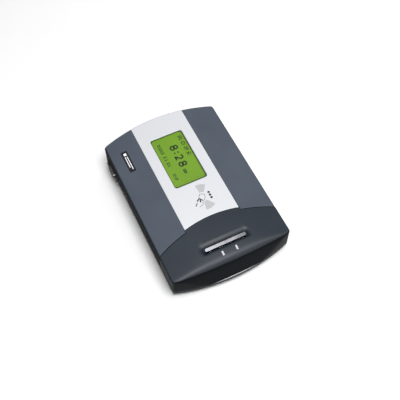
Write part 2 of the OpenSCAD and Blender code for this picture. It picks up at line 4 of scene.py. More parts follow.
import bmesh
import bpy
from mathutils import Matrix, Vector


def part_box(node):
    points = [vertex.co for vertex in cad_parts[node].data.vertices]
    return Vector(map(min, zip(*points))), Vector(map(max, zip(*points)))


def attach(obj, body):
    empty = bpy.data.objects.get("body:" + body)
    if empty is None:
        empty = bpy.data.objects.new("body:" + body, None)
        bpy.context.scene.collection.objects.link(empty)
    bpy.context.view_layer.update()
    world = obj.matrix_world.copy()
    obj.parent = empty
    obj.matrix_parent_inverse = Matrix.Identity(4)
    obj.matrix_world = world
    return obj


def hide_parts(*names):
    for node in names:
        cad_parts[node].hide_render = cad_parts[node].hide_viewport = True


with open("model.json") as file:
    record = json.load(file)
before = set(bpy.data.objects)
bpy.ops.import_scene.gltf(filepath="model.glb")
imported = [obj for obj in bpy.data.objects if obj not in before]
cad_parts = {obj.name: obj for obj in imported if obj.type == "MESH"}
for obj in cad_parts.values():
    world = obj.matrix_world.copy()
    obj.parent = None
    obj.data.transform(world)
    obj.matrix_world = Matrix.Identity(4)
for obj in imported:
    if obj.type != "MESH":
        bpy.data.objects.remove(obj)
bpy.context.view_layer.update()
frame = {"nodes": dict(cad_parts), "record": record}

nodes = frame["nodes"]
MM = 0.001

# ------------------------------------------------------------------ sizes, in millimetres
base_lo, base_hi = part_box("base_housing")
HALF_L = (base_hi.x - base_lo.x) / 2 / MM
HALF_W = (base_hi.y - base_lo.y) / 2 / MM
MID_Y = (base_hi.y + base_lo.y) / 2 / MM
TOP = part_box("fascia_panel")[1].z / MM + 0.1
FAR_BOW = 11.0
NEAR_BOW = 11.5
CROWN_DROP = 3.8
CORNER_R = 3.0
NOSE_R = 800.0
WALL = 2.5
SKIN = 3.5
SEAM = 0.4
SPLIT = 10.0
PANEL_HALF = 32.9
PANEL_FLOOR = TOP - 1.4
WRAP_BOTTOM = TOP - 14
WRAP_T = 1.2
EDGE_ROLL = 2.4
CAP_ROLL = EDGE_ROLL * 0.6
PANEL_ROLL = 1.7
SEAM_ROLL = 0.45

window_lo, window_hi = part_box("display_window")
DISPLAY_X = (window_lo.x + window_hi.x) / 2 / MM
WINDOW_LEDGE = 1.7
WINDOW_L = (window_hi.x - window_lo.x) / MM - 2 * WINDOW_LEDGE
WINDOW_W = (window_hi.y - window_lo.y) / MM - 2 * WINDOW_LEDGE
GLASS_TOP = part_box("lcd_glass")[1].z / MM

bar_lo, bar_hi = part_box("bar_key")
BAR_X = (bar_lo.x + bar_hi.x) / 2 / MM
BAR_L = (bar_hi.y - bar_lo.y) / MM
BAR_W = 3.6
BAR_GAP = 0.6
PAD_BOTTOM = TOP - 5.7
SCOOP_FLOOR = 1.9
SCOOP_REACH = 7.0
SCOOP_STEEP = 3.6
SCOOP_END = 5.5
LIP_SLOPE = 0.31
LIP_START = 0.8
LIP_BEND = 2.6
LIP_CURVE = 0.07
LED_X = HALF_L - 18.1
LED_Y = 8.2
LED_HALF_L = 2.6
LED_HALF_W = 1.1


def arc_radius(half, bow):
    """Radius of an arc that bows out by bow over a half chord of half."""
    return (half ** 2 + bow ** 2) / (2 * bow)


FAR_R = arc_radius(HALF_W, FAR_BOW)
NEAR_R = arc_radius(HALF_W, NEAR_BOW)
CROWN_R = arc_radius(HALF_W, CROWN_DROP)
WING_ARC = (HALF_L + 101.7, 162.3)
PANEL_ARC = (HALF_L + 68.4, 133.0)


# ------------------------------------------------------------------ the casing's form
def bow_depth(y, radius):
    """How far an end's outline is behind its tip, the rounded corner included."""
    y = abs(y)
    yc = HALF_W - CORNER_R
    if y <= yc * radius / (radius - CORNER_R):
        return radius - math.sqrt(radius ** 2 - y ** 2)
    xc = radius - math.sqrt((radius - CORNER_R) ** 2 - yc ** 2)
    return xc - math.sqrt(max(CORNER_R ** 2 - (y - yc) ** 2, 0))


def far_x(y):
    return -HALF_L + bow_depth(y, FAR_R)


def near_x(y):
    return HALF_L - bow_depth(y, NEAR_R)


def inside(x, y):
    """Distance from a point in plan to the casing's outline, above 0 inside it."""
    r = CORNER_R
    a = abs(y) - (HALF_W - r)
    far = math.hypot(x - (FAR_R - HALF_L), y) - (FAR_R - r)
    near = math.hypot(x - (HALF_L - NEAR_R), y) - (NEAR_R - r)
    b = max(far, near)
    return r - (math.hypot(max(a, 0), max(b, 0)) + min(max(a, b), 0))


def crown(y, z=TOP):
    return z - CROWN_R + math.sqrt(CROWN_R ** 2 - y ** 2)


def roll(d, r):
    """How far a rounded edge of radius r has dropped at distance d from the edge."""
    d = min(max(d, 0), r)
    return r - math.sqrt(r ** 2 - (r - d) ** 2)


# The right end's profile: distance in from the tip, and height against the top
NOSE = [(0.9, 8 - TOP), (6, -7.5), (7.5, -3.8), (13, -0.9), (26, 0.6)]
NOSE_SOFT = 0.55


def nose_inset(x, y):
    return NOSE_R - math.hypot(x - (HALF_L - NOSE_R), y)


def end_height(x, y):
    """Top of the casing near the right end: the crown and the nose, blended where they meet."""
    s = nose_inset(x, y)
    heights = [crown(y)]
    for (s0, z0), (s1, z1) in zip(NOSE, NOSE[1:]):
        heights.append(TOP + z0 + (z1 - z0) * (s - s0) / (s1 - s0))
    low = min(heights)
    return low - NOSE_SOFT * math.log(sum(math.exp((low - h) / NOSE_SOFT) for h in heights))


def nose_foot_x(y):
    """Where the leaning end wall meets the seam above the base."""
    (s0, z0), (s1, z1) = NOSE[:2]
    s = s0 + (SPLIT + SEAM - TOP - z0) * (s1 - s0) / (z1 - z0)
    return HALF_L - NOSE_R + math.sqrt((NOSE_R - s) ** 2 - y ** 2)


def cap_x(y, grow=0.0):
    """The end cap's inner edge, with its tongue over the panel's width."""
    cx, r = PANEL_ARC if abs(y) < PANEL_HALF + SEAM + grow else WING_ARC
    return cx - math.sqrt((r + grow) ** 2 - y ** 2)


# ------------------------------------------------------------------ mesh building
def new_object(name, mesh, body, slot, look=None):
    """Adds a piece to a body, with its slot's material or the one called look."""
    obj = bpy.data.objects.new(name, mesh)
    bpy.context.scene.collection.objects.link(obj)
    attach(obj, body)
    obj.data.materials.append(material(look or slot))
    return obj


def mesh_from(name, verts, faces, smooth=True):
    mesh = bpy.data.meshes.new(name)
    mesh.from_pydata([(x * MM, (y + MID_Y) * MM, z * MM) for x, y, z in verts], [], faces)
    mesh.validate()
    bm = bmesh.new()
    bm.from_mesh(mesh)
    bmesh.ops.remove_doubles(bm, verts=bm.verts, dist=1e-7)
    bmesh.ops.recalc_face_normals(bm, faces=bm.faces)
    bm.to_mesh(mesh)
    bm.free()
    if smooth:
        mesh.shade_smooth()
        mesh.set_sharp_from_angle(angle=math.radians(40))
    return mesh


def grid_plate(name, rows, top, bottom):
    """Closed plate over a grid of plan points: rows[i][j] = (x, y), with a height on each side."""
    n, m = len(rows), len(rows[0])
    verts = [(x, y, top(x, y)) for row in rows for x, y in row]
    verts += [(x, y, min(bottom(x, y), top(x, y) - 0.05)) for row in rows for x, y in row]
    under = n * m
    faces = []
    for i in range(n - 1):
        for j in range(m - 1):
            a, b, c, d = i * m + j, i * m + j + 1, (i + 1) * m + j + 1, (i + 1) * m + j
            faces.append((a, b, c, d))
            faces.append((a + under, d + under, c + under, b + under))
    rim = [i * m for i in range(n)] + [(n - 1) * m + j for j in range(1, m)]
    rim += [i * m + m - 1 for i in range(n - 2, -1, -1)] + [j for j in range(m - 2, 0, -1)]
    for a, b in zip(rim, rim[1:] + rim[:1]):
        faces.append((a, b, b + under, a + under))
    return mesh_from(name, verts, faces)


def between(lo, hi, near, tail, count):
    """Stations from lo to hi: close ones at each end, and count even steps between them."""
    a, b = lo + near[-1], hi - tail[0]
    even = [a + (b - a) * i / count for i in range(1, count)]
    return [lo + d for d in near] + even + [hi - d for d in tail]


def spread(lo, hi, step):
    count = max(int(round((hi - lo) / step)), 1)
    return [lo + (hi - lo) * i / count for i in range(count + 1)]


EDGE_STEPS = [0, 0.05, 0.15, 0.32, 0.55, 0.85, 1.2, 1.7, 2.1, 2.45, 2.55, 3.4, 5, 8]


def row_stations(half, edge, extra=(), step=2.6):
    """Positions across the face, close together at the edges and round the extra ones."""
    ys = set(round(half - d, 4) for d in edge)
    for centre, near in extra:
        ys |= set(round(centre + d, 4) for d in near)
    inner = max(half - max(edge), 0)
    ys |= set(round(v, 4) for v in spread(0, inner, step)
              if all(abs(v - y) > step * 0.35 for y in ys))
    ys = sorted(ys)
    return [-y for y in reversed(ys) if y > 0] + ys


def cut(obj, cutters):
    """Takes the cutters out of obj's mesh and removes them."""
    joined = bmesh.new()
    for mesh in cutters:
        joined.from_mesh(mesh)
        bpy.data.meshes.remove(mesh)
    tool_mesh = bpy.data.meshes.new("cutter")
    joined.to_mesh(tool_mesh)
    joined.free()
    tool = bpy.data.objects.new("cutter", tool_mesh)
    bpy.context.scene.collection.objects.link(tool)
    mod = obj.modifiers.new("cut", "BOOLEAN")
    mod.operation = "DIFFERENCE"
    mod.solver = "EXACT"
    mod.object = tool
    bpy.context.view_layer.update()
    done = bpy.data.meshes.new_from_object(obj.evaluated_get(bpy.context.evaluated_depsgraph_get()))
    obj.modifiers.clear()
    old = obj.data
    obj.data = done
    bpy.data.meshes.remove(old)
    bpy.data.objects.remove(tool)
    bpy.data.meshes.remove(tool_mesh)
    done.set_sharp_from_angle(angle=math.radians(40))


def loft(name, rings, smooth=True):
    """Closed solid through rings of equal length, capped at both ends."""
    n = len(rings[0])
    verts = [p for ring in rings for p in ring]
    faces = [tuple(range(n - 1, -1, -1))]
    for i in range(len(rings) - 1):
        for k in range(n):
            k1 = (k + 1) % n
            faces.append((i * n + k, i * n + k1, (i + 1) * n + k1, (i + 1) * n + k))
    faces.append(tuple((len(rings) - 1) * n + k for k in range(n)))
    return mesh_from(name, verts, faces, smooth)


def round_rect(cx, cy, l, w, r, z, steps=8):
    """Ring of points round a rectangle with rounded corners; z is a number or a function."""
    ring = []
    for q, (sx, sy) in enumerate([(1, 1), (-1, 1), (-1, -1), (1, -1)]):
        for i in range(steps + 1):
            a = math.pi / 2 * (q + i / steps)
            x = cx + sx * (l / 2 - r) + r * math.cos(a)
            y = cy + sy * (w / 2 - r) + r * math.sin(a)
            ring.append((x, y, z(x, y) if callable(z) else z))
    return ring


# ------------------------------------------------------------------ materials
class Graph:
    """Small helper for building a node material."""

    def __init__(self, name):
        self.mat = bpy.data.materials.get(name) or bpy.data.materials.new(name)
        self.mat.use_nodes = True
        self.tree = self.mat.node_tree
        self.tree.nodes.clear()
        self.shader = self.tree.nodes.new("ShaderNodeBsdfPrincipled")
        output = self.tree.nodes.new("ShaderNodeOutputMaterial")
        self.tree.links.new(self.shader.outputs["BSDF"], output.inputs["Surface"])
        coords = self.tree.nodes.new("ShaderNodeTexCoord")
        self.place = coords.outputs["Object"]
        self.facing = coords.outputs["Normal"]

    def node(self, kind, **values):
        n = self.tree.nodes.new(kind)
        for key, value in values.items():
            if key in n.inputs:
                n.inputs[key].default_value = value
            else:
                setattr(n, key, value)
        return n

    def link(self, a, b):
        self.tree.links.new(a, b)

    def stretched(self, scale):
        m = self.node("ShaderNodeMapping")
        m.inputs["Scale"].default_value = scale
        self.link(self.place, m.inputs["Vector"])
        return m.outputs["Vector"]

    def noise(self, scale, detail=2.0, rough=0.5, vector=None):
        n = self.node("ShaderNodeTexNoise", Scale=scale, Detail=detail, Roughness=rough)
        self.link(vector or self.place, n.inputs["Vector"])
        return n.outputs["Fac"]

    def cells(self, scale):
        n = self.node("ShaderNodeTexVoronoi", Scale=scale)
        self.link(self.place, n.inputs["Vector"])
        return n.outputs["Distance"]

    def span(self, source, lo, hi, low=0.3, high=0.7):
        n = self.node("ShaderNodeMapRange")
        for key, value in (("From Min", low), ("From Max", high), ("To Min", lo), ("To Max", hi)):
            n.inputs[key].default_value = value
        self.link(source, n.inputs["Value"])
        return n.outputs["Result"]

    def ramp(self, source, lo, hi):
        """Takes a source from 0 to 1 to the range lo to hi."""
        return self.span(source, lo, hi, 0.0, 1.0)

    def mix(self, fac, a, b):
        n = self.node("ShaderNodeMix", data_type="RGBA")
        for socket, value in ((n.inputs[0], fac), (n.inputs[6], a), (n.inputs[7], b)):
            if isinstance(value, bpy.types.NodeSocket):
                self.link(value, socket)
            elif isinstance(value, tuple):
                socket.default_value = (*value, 1)
            else:
                socket.default_value = value
        return n.outputs[2]

    def sum(self, a, b, weight=1.0):
        n = self.node("ShaderNodeMath", operation="MULTIPLY_ADD")
        self.link(b, n.inputs[0])
        n.inputs[1].default_value = weight
        self.link(a, n.inputs[2])
        return n.outputs[0]

    def bump(self, source, depth):
        n = self.node("ShaderNodeBump", Strength=1.0, Distance=depth)
        self.link(source, n.inputs["Height"])
        self.link(n.outputs["Normal"], self.shader.inputs["Normal"])

    def upright(self, low, high):
        """0 where the surface stands upright, 1 where it faces up."""
        parts = self.node("ShaderNodeSeparateXYZ")
        self.link(self.facing, parts.inputs[0])
        return self.span(parts.outputs["Z"], 0, 1, low, high)

    def worn(self, color, worn_color, amount, patch):
        """Lightens convex edges, in patches."""
        geo = self.node("ShaderNodeNewGeometry")
        edge = self.span(geo.outputs["Pointiness"], 0.0, 1.0, 0.515, 0.6)
        patchy = self.span(self.noise(patch, 3.0), 0.0, amount, 0.4, 0.62)
        both = self.node("ShaderNodeMath", operation="MULTIPLY")
        self.link(edge, both.inputs[0])
        self.link(patchy, both.inputs[1])
        return self.mix(both.outputs[0], color, worn_color)


def scaled(color, k):
    return tuple(c * k for c in color)


def moulded(name, color, rough, grain=1500.0, depth=0.00004, vary=0.12, worn=0.0, specular=0.5,
            side_shade=None):
    """Injection-moulded plastic with a spark-eroded grain; the optional colour for the sides is
    painted shade, put in place of the top colour where the surface turns down, with the specular
    turned down there too."""
    g = Graph(name)
    cloud = g.noise(28, 3.0)
    fine = g.noise(grain, 2.0, 0.6)
    tint = g.mix(g.span(cloud, 0, 1), scaled(color, 1 - vary), scaled(color, 1 + vary))
    speck = g.mix(g.span(fine, 0, 1, 0.35, 0.7), scaled(color, 0.86), scaled(color, 1.16))
    base = g.mix(0.45, tint, speck)
    if worn:
        base = g.worn(base, scaled(color, 1.9), worn, 90)
    # Painted shade: a near-black colour and almost no specular where the surface turns down, so the
    # walls read dark
    if side_shade:
        painted_side_shade = g.mix(g.span(fine, 0, 1, 0.35, 0.7), scaled(side_shade, 0.8), scaled(side_shade, 1.25))
        up = g.upright(0.55, 0.94)
        base = g.mix(up, painted_side_shade, base)
        g.link(g.ramp(up, 0.02, specular), g.shader.inputs["Specular IOR Level"])
    g.link(base, g.shader.inputs["Base Color"])
    g.link(g.span(g.sum(fine, cloud, 0.8), rough - 0.07, rough + 0.09, 0.5, 1.3),
           g.shader.inputs["Roughness"])
    g.shader.inputs["Specular IOR Level"].default_value = specular
    g.bump(g.sum(fine, g.cells(grain * 0.7), 0.5), depth)
    return g


def metal(name, color, rough, grain=(60, 900, 900), depth=0.000004, vary=0.12):
    """Plated or brushed metal with fine lines and slight tarnish."""
    g = Graph(name)
    lines = g.noise(1.0, 4.0, 0.6, g.stretched(grain))
    cloud = g.noise(120, 3.0)
    base = g.mix(g.span(cloud, 0, 1), scaled(color, 1 - vary), color)
    g.link(base, g.shader.inputs["Base Color"])
    g.shader.inputs["Metallic"].default_value = 1.0
    g.link(g.span(g.sum(lines, cloud, 0.6), rough - 0.06, rough + 0.1, 0.5, 1.1),
           g.shader.inputs["Roughness"])
    g.bump(lines, depth)
    return g


def lacquer(name, color):
    """Satin silver-white lacquer: fine flake, faint orange peel, light handling marks."""
    g = Graph(name)
    flake = g.cells(3800)
    peel = g.noise(420, 2.0)
    smear = g.noise(1.0, 3.0, 0.55, g.stretched((14, 60, 60)))
    base = g.mix(g.span(flake, 0, 1, 0.1, 0.7), scaled(color, 1.04), scaled(color, 0.95))
    base = g.mix(g.span(smear, 0, 0.5, 0.45, 0.8), base, scaled(color, 0.93))
    g.link(base, g.shader.inputs["Base Color"])
    g.shader.inputs["Metallic"].default_value = 0.12
    g.link(g.span(g.sum(smear, peel, 0.5), 0.34, 0.5, 0.5, 1.1), g.shader.inputs["Roughness"])
    g.bump(peel, 0.000012)
    return g


def board(name, color):
    """Green solder resist over copper tracks."""
    g = Graph(name)
    tracks = g.node("ShaderNodeTexBrick", Scale=260.0)
    tracks.inputs["Color1"].default_value = (*color, 1)
    tracks.inputs["Color2"].default_value = (*scaled(color, 1.25), 1)
    tracks.inputs["Mortar"].default_value = (*scaled(color, 1.9), 1)
    g.link(g.place, tracks.inputs["Vector"])
    base = g.mix(g.span(g.noise(90), 0.3, 0.8), tracks.outputs["Color"], color)
    g.link(base, g.shader.inputs["Base Color"])
    g.link(g.span(g.noise(500), 0.3, 0.45), g.shader.inputs["Roughness"])
    g.bump(tracks.outputs["Fac"], 0.00002)
    return g


def display_film(name, color):
    """Yellow-green film with the faint grid of its dots and a slightly uneven backlight."""
    g = Graph(name)
    dots = g.node("ShaderNodeTexBrick", Scale=1000.0, offset=0.0)
    dots.inputs["Mortar Size"].default_value = 0.06
    dots.inputs["Brick Width"].default_value = 0.52
    dots.inputs["Row Height"].default_value = 0.52
    dots.inputs["Color1"].default_value = (*color, 1)
    dots.inputs["Color2"].default_value = (*scaled(color, 0.97), 1)
    dots.inputs["Mortar"].default_value = (*scaled(color, 1.12), 1)
    g.link(g.place, dots.inputs["Vector"])
    uneven = g.span(g.noise(22, 1.0), 0.0, 0.55)
    base = g.mix(uneven, dots.outputs["Color"], scaled(color, 0.82))
    g.link(base, g.shader.inputs["Base Color"])
    g.link(base, g.shader.inputs["Emission Color"])
    g.shader.inputs["Emission Strength"].default_value = 0.12
    g.link(g.span(g.noise(700), 0.3, 0.42), g.shader.inputs["Roughness"])
    g.bump(dots.outputs["Fac"], 0.000004)
    return g


def clear(name, color, alpha):
    """Thin clear sheet, mostly see-through, with a faint uneven polish."""
    g = Graph(name)
    haze = g.noise(160, 3.0)
    g.link(g.mix(g.span(haze, 0, 1), color, scaled(color, 0.94)), g.shader.inputs["Base Color"])
    g.link(g.span(haze, 0.04, 0.12), g.shader.inputs["Roughness"])
    g.shader.inputs["Alpha"].default_value = alpha
    g.shader.inputs["Specular IOR Level"].default_value = 0.25
    g.bump(g.noise(300), 0.000003)
    return g


def ink(name, color, rough=0.5):
    """Screen-printed ink with slightly uneven cover."""
    g = Graph(name)
    cover = g.noise(1800, 3.0)
    g.link(g.mix(g.span(cover, 0, 1), color, scaled(color, 1.25)), g.shader.inputs["Base Color"])
    g.link(g.span(cover, rough - 0.08, rough + 0.08), g.shader.inputs["Roughness"])
    g.bump(cover, 0.000006)
    return g


RECIPES = {
    # The sides colours of the two casing plastics are painted shade on the downturned walls and edge
    # rolls
    "slate_plastic": lambda n: moulded(n, (0.068, 0.083, 0.109), 0.58, worn=0.4, specular=0.22,
                                       side_shade=(0.006, 0.0075, 0.009)),
    "charcoal_plastic": lambda n: moulded(n, (0.022, 0.029, 0.04), 0.37, worn=0.4, specular=0.26,
                                          side_shade=(0.006, 0.0075, 0.009)),
    # Base: the light top colour is a painted highlight on the rim's upward faces and bevels; the
    # near-black sides colour is painted shade
    "base_plastic": lambda n: moulded(n, (0.42, 0.44, 0.45), 0.34, specular=0.6,
                                      side_shade=(0.022, 0.027, 0.03)),
    "silver_panel": lambda n: lacquer(n, (0.67, 0.685, 0.715)),
    "badge_black": lambda n: moulded(n, (0.012, 0.012, 0.014), 0.16, 2400, 0.000004),
    "clear_acrylic": lambda n: clear(n, (0.2, 0.4, 0.1), 0.03),
    "black_foam": lambda n: moulded(n, (0.02, 0.02, 0.02), 0.85, 2200, 0.0001),
    "display_green": lambda n: display_film(n, (0.14, 0.28, 0.008)),
    "bright_bar": lambda n: metal(n, (0.66, 0.67, 0.72), 0.2, (500, 30, 500), 0.0000001),
    "light_guide": lambda n: moulded(n, (0.5, 0.52, 0.54), 0.22, 900, 0.000004, 0.04),
    "steel": lambda n: metal(n, (0.55, 0.56, 0.58), 0.34),
    # Nickel darkened far below its own tone: painted shade, so the connector on the shaded side reads
    # dark
    "nickel_shell": lambda n: metal(n, (0.22, 0.215, 0.21), 0.3),
    "brass": lambda n: metal(n, (0.62, 0.45, 0.16), 0.3),
    "copper": lambda n: metal(n, (0.6, 0.3, 0.14), 0.35),
    "circuit_board": lambda n: board(n, (0.012, 0.1, 0.035)),
    "chip_black": lambda n: moulded(n, (0.02, 0.02, 0.022), 0.55, 2600, 0.00002),
    "black_plastic": lambda n: moulded(n, (0.016, 0.016, 0.018), 0.45, 1800, 0.00002),
    "white_plastic": lambda n: moulded(n, (0.75, 0.75, 0.72), 0.4, 1800, 0.00001, 0.05),
    "red_plastic": lambda n: moulded(n, (0.45, 0.04, 0.03), 0.4, 1800, 0.00001),
    "blue_sleeve": lambda n: moulded(n, (0.02, 0.035, 0.12), 0.25, 1200, 0.000006),
    "cable_grey": lambda n: moulded(n, (0.42, 0.43, 0.47), 0.45, 1500, 0.00001),
    "foot_rubber": lambda n: moulded(n, (0.018, 0.018, 0.018), 0.8, 1300, 0.00006),
    "ink_black": lambda n: ink(n, (0.02, 0.02, 0.024)),
    "ink_grey": lambda n: ink(n, (0.27, 0.27, 0.275)),
    "ink_line": lambda n: ink(n, (0.38, 0.38, 0.39)),
    "ink_white": lambda n: ink(n, (0.75, 0.76, 0.78)),
    # Dark green of the display's printed mask, which also serves as painted shade along the window's
    # near edge
    "mask_green": lambda n: ink(n, (0.03, 0.06, 0.014), 0.4),
    "segment_green": lambda n: ink(n, (0.006, 0.018, 0.003), 0.4),
    "segment_soft": lambda n: ink(n, (0.008, 0.03, 0.004), 0.4),
}


MADE = {}


def material(name):
    if name not in MADE:
        MADE[name] = RECIPES[name](name).mat
    return MADE[name]


# ------------------------------------------------------------------ top housing
cap_side = [(PANEL_HALF + SEAM, (-0.5, -0.2, -0.01, 0.01, 0.2, 0.5)),
            (PANEL_HALF + 0.1, (-0.01, 0.01))]
housing_ys = row_stations(HALF_W, EDGE_STEPS, cap_side)
WRAP_STEP = WRAP_T + 0.2


def housing_row(y):
    lo, hi = far_x(y), cap_x(y, SEAM)
    near = [0, 0.05, 0.15, 0.32, 0.55, 0.85, 1.35, 1.45, 1.7, 2.45, 2.55, 3.4, 5, 8]
    tail = [2.5, 1, 0.45, 0.28, 0.12, 0.04, 0]
    return [(x, y) for x in between(lo, hi, near, tail, 34)]


def housing_top(x, y):
    d = inside(x, y)
    if abs(y) < PANEL_HALF + 0.1:
        return WRAP_BOTTOM - 0.2 if d < WRAP_STEP else PANEL_FLOOR - 0.05
    z = crown(y) - roll(d, EDGE_ROLL) - roll(cap_x(y, SEAM) - x, SEAM_ROLL)
    return z - roll(abs(y) - PANEL_HALF - 0.1, 0.3)


def housing_bottom(x, y):
    return SPLIT + SEAM if inside(x, y) < WALL else crown(y) - SKIN


def box_mesh(x0, x1, y0, y1, z0, z1):
    ring = [(x0, y0), (x1, y0), (x1, y1), (x0, y1)]
    return loft("box", [[(x, y, z) for x, y in ring] for z in (z0, z1)], False)


SERIAL_GAP = 0.4
JACK_GAP = 0.3
SIDE_CUT = (-HALF_W - 5, -HALF_W + 8)
CUT_FLOOR = 8
ABOVE = 45

serial_lo, serial_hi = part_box("serial_shell")
serial_cx = (serial_lo.x + serial_hi.x) / 2 / MM
serial_half = (serial_hi.x - serial_lo.x) / 2 / MM + SERIAL_GAP
serial_top = serial_hi.z / MM + SERIAL_GAP
jack_lo, jack_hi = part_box("power_jack")

housing_mesh = grid_plate("upper_shell", [housing_row(y) for y in housing_ys],
                          housing_top, housing_bottom)
housing = new_object("upper_shell", housing_mesh, "casing", "slate_plastic")
cut(housing, [
    loft("opening", [round_rect(DISPLAY_X, 0, WINDOW_L + 15, WINDOW_W + 17, 1.5, z)
                     for z in (30, ABOVE)]),
    box_mesh(serial_cx - serial_half, serial_cx + serial_half, *SIDE_CUT, CUT_FLOOR, serial_top),
    box_mesh(jack_lo.x / MM - JACK_GAP, jack_hi.x / MM + JACK_GAP, *SIDE_CUT, CUT_FLOOR,
             jack_hi.z / MM + JACK_GAP),
])
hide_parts("top_housing")

# ------------------------------------------------------------------ end cap
cap_ys = row_stations(HALF_W, EDGE_STEPS, cap_side + [(27, [d * 0.8 for d in range(-6, 7)])], 2.0)


# Distances from the cap's inner edge: where its rows stop being straight, and the nose's bends
CAP_FIXED = 20
NOSE_START = 50.5
NOSE_EDGE = 56.5


def cap_row(y):
    lo = cap_x(y)
    hi = min(near_x(y), nose_foot_x(y))
    ends = [0, 0.04, 0.12, 0.28, 0.45, 0.9, 2.5]
    scoop = spread(BAR_X - 10.5 - cap_x(0), BAR_X + 5.5 - cap_x(0), 0.6)
    flat = spread(ends[-1], scoop[0], 4)[1:-1] + scoop + spread(scoop[-1], NOSE_START, 1.6)[1:]
    front = spread(NOSE_START, NOSE_EDGE, 0.75)[1:]
    front += spread(NOSE_EDGE, nose_foot_x(0) - cap_x(0), 0.4)[1:]
    stations = ends + flat + front
    squeeze = (hi - lo - CAP_FIXED) / (stations[-1] - CAP_FIXED)
    return [(lo + (s if s < CAP_FIXED else CAP_FIXED + (s - CAP_FIXED) * squeeze), y)
            for s in stations]


def scoop_drop(x, y):
    """The finger scoop: a gentle lip on the panel's side that steepens towards the bar."""
    u = x - BAR_X
    side = max(abs(u) - SCOOP_FLOOR, 0) / (SCOOP_REACH if u < 0 else SCOOP_STEEP)
    end = max(abs(y) - (BAR_L / 2 + 1), 0) / SCOOP_END
    t = SCOOP_REACH * max(1 - math.hypot(side, end), 0)
    rise = t * t / (2 * LIP_START) if t < LIP_START else t - LIP_START / 2
    return LIP_SLOPE * rise + LIP_CURVE * max(t - LIP_BEND, 0) ** 2


def cap_top(x, y):
    z = end_height(x, y) - roll(inside(x, y), CAP_ROLL) - scoop_drop(x, y)
    return max(z - roll(x - cap_x(y), SEAM_ROLL), SPLIT + SEAM + 0.1)


def cap_bottom(x, y):
    foot = min(inside(x, y), nose_inset(x, y) - 1.4)
    if foot < WALL:
        return SPLIT + SEAM
    if abs(x - BAR_X) < 8.5 and abs(y) < 32:
        return PAD_BOTTOM
    return end_height(x, y) - SKIN + 0.5


def pill_ring(cx, cy, l, w, z, steps=12):
    ring = []
    for s, start in ((1, 0), (-1, math.pi)):
        for i in range(steps + 1):
            a = start + math.pi * i / steps
            ring.append((cx + w / 2 * math.cos(a), cy + s * (l - w) / 2 + w / 2 * math.sin(a), z))
    return ring


cap = new_object("end_cover", grid_plate("end_cover", [cap_row(y) for y in cap_ys],
                                         cap_top, cap_bottom), "casing", "charcoal_plastic")
cut(cap, [
    loft("slot", [pill_ring(BAR_X, 0, BAR_L + 2 * BAR_GAP, BAR_W + 2 * BAR_GAP, z)
                  for z in (PAD_BOTTOM - 3, ABOVE)]),
    *[box_mesh(LED_X - LED_HALF_L, LED_X + LED_HALF_L, y - LED_HALF_W, y + LED_HALF_W, 30, ABOVE)
      for y in (LED_Y, -LED_Y)],
])
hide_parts("end_cap")

# ------------------------------------------------------------------ silver panel
PANEL_TOP = TOP - 0.1
panel_ys = row_stations(PANEL_HALF, [0, 0.04, 0.12, 0.25, 0.4, 1.2, 3], (), 2.0)


def panel_row(y):
    lo, hi = far_x(y), cap_x(y, SEAM)
    near = [0, 0.05, 0.15, 0.32, 0.55, 0.85, 1.15, 1.25, 1.7, 3, 6]
    tail = [2, 1, 0.4, 0.25, 0.12, 0.04, 0]
    return [(x, y) for x in between(lo, hi, near, tail, 32)]


def panel_top(x, y):
    z = crown(y, PANEL_TOP) - roll(inside(x, y), PANEL_ROLL)
    return z - roll(cap_x(y, SEAM) - x, 0.4) - roll(PANEL_HALF - abs(y), 0.35)


def panel_bottom(x, y):
    return WRAP_BOTTOM if inside(x, y) < WRAP_T else PANEL_FLOOR


panel = new_object("panel", grid_plate("panel", [panel_row(y) for y in panel_ys],
                                       panel_top, panel_bottom), "casing", "silver_panel")
WINDOW_R = 3.0
CHAMFER = 0.55
cut(panel, [loft("window", [
    round_rect(DISPLAY_X, 0, WINDOW_L + 2 * g, WINDOW_W + 2 * g, WINDOW_R + g, z)
    for g, z in ((0, PANEL_FLOOR - 2), (0, PANEL_TOP - 0.9), (CHAMFER, PANEL_TOP - 0.25),
                 (CHAMFER + 0.9, PANEL_TOP + 1.2))])])
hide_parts("fascia_panel")


# ------------------------------------------------------------------ printing
def on_panel(x, y):
    return crown(y, PANEL_TOP)


def on_glass(x, y):
    return GLASS_TOP


INK_TOP = 0.05
INK_THIN = 0.04
INK_SUNK = -0.03


def ribbon(points, width, surface, lift=INK_TOP, closed=False):
    """Thin closed strip along a line of points on a surface, as vertices and faces."""
    n = len(points)
    left, right = [], []
    for i, (x, y) in enumerate(points):
        before = points[(i - 1) % n] if closed or i else points[0]
        after = points[(i + 1) % n] if closed or i < n - 1 else points[-1]
        dx, dy = after[0] - before[0], after[1] - before[1]
        size = math.hypot(dx, dy) or 1
        nx, ny = -dy / size * width / 2, dx / size * width / 2
        left.append((x + nx, y + ny))
        right.append((x - nx, y - ny))
    verts = []
    for dz in (lift, INK_SUNK):
        for side in (left, right):
            verts += [(x, y, surface(x, y) + dz) for x, y in side]
    faces = []
    for i in range(n if closed else n - 1):
        a, b = i, (i + 1) % n
        faces += [(a, b, b + n, a + n), (a + 2 * n, a + 3 * n, b + 3 * n, b + 2 * n),
                  (a, a + 2 * n, b + 2 * n, b), (a + n, b + n, b + 3 * n, a + 3 * n)]
    if not closed:
        faces += [(0, n, 3 * n, 2 * n), (n - 1, 3 * n - 1, 4 * n - 1, 2 * n - 1)]
    return verts, faces


def gather(name, parts, slot_name, ink_name):
    """Joins printed marks into one piece of the casing."""
    verts, faces = [], []
    for v, f in parts:
        start = len(verts)
        verts += v
        faces += [tuple(i + start for i in face) for face in f]
    new_object(name, mesh_from(name, verts, faces, False), "casing", slot_name, ink_name)


